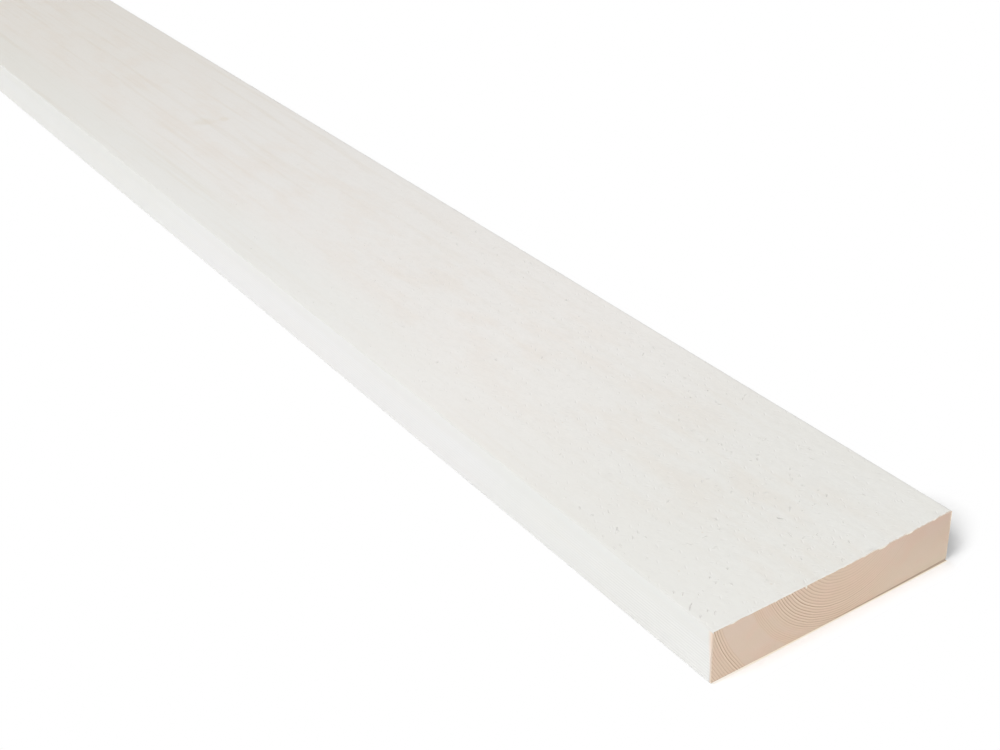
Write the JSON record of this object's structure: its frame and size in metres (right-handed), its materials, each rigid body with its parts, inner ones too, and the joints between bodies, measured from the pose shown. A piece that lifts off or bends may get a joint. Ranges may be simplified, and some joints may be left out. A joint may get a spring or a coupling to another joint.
{
  "type": "cladding board",
  "caption": "White primed softwood cladding board with a fine-sawn face, square edges and a slight cup, one solid length of stock.",
  "frame": {"origin": "bottom middle of the board as it lies flat on its back, half-way along its length", "axes": "+X along the board, +Y across its width, +Z out of the sawn face, which is up"},
  "size_m": [3, 0.12, 0.0235],
  "materials": {
    "primed_wood": "white primer, matt, on fine-sawn spruce"
  },
  "bodies": {
    "root": {"board": "primed_wood"}
  },
  "joints": []
}
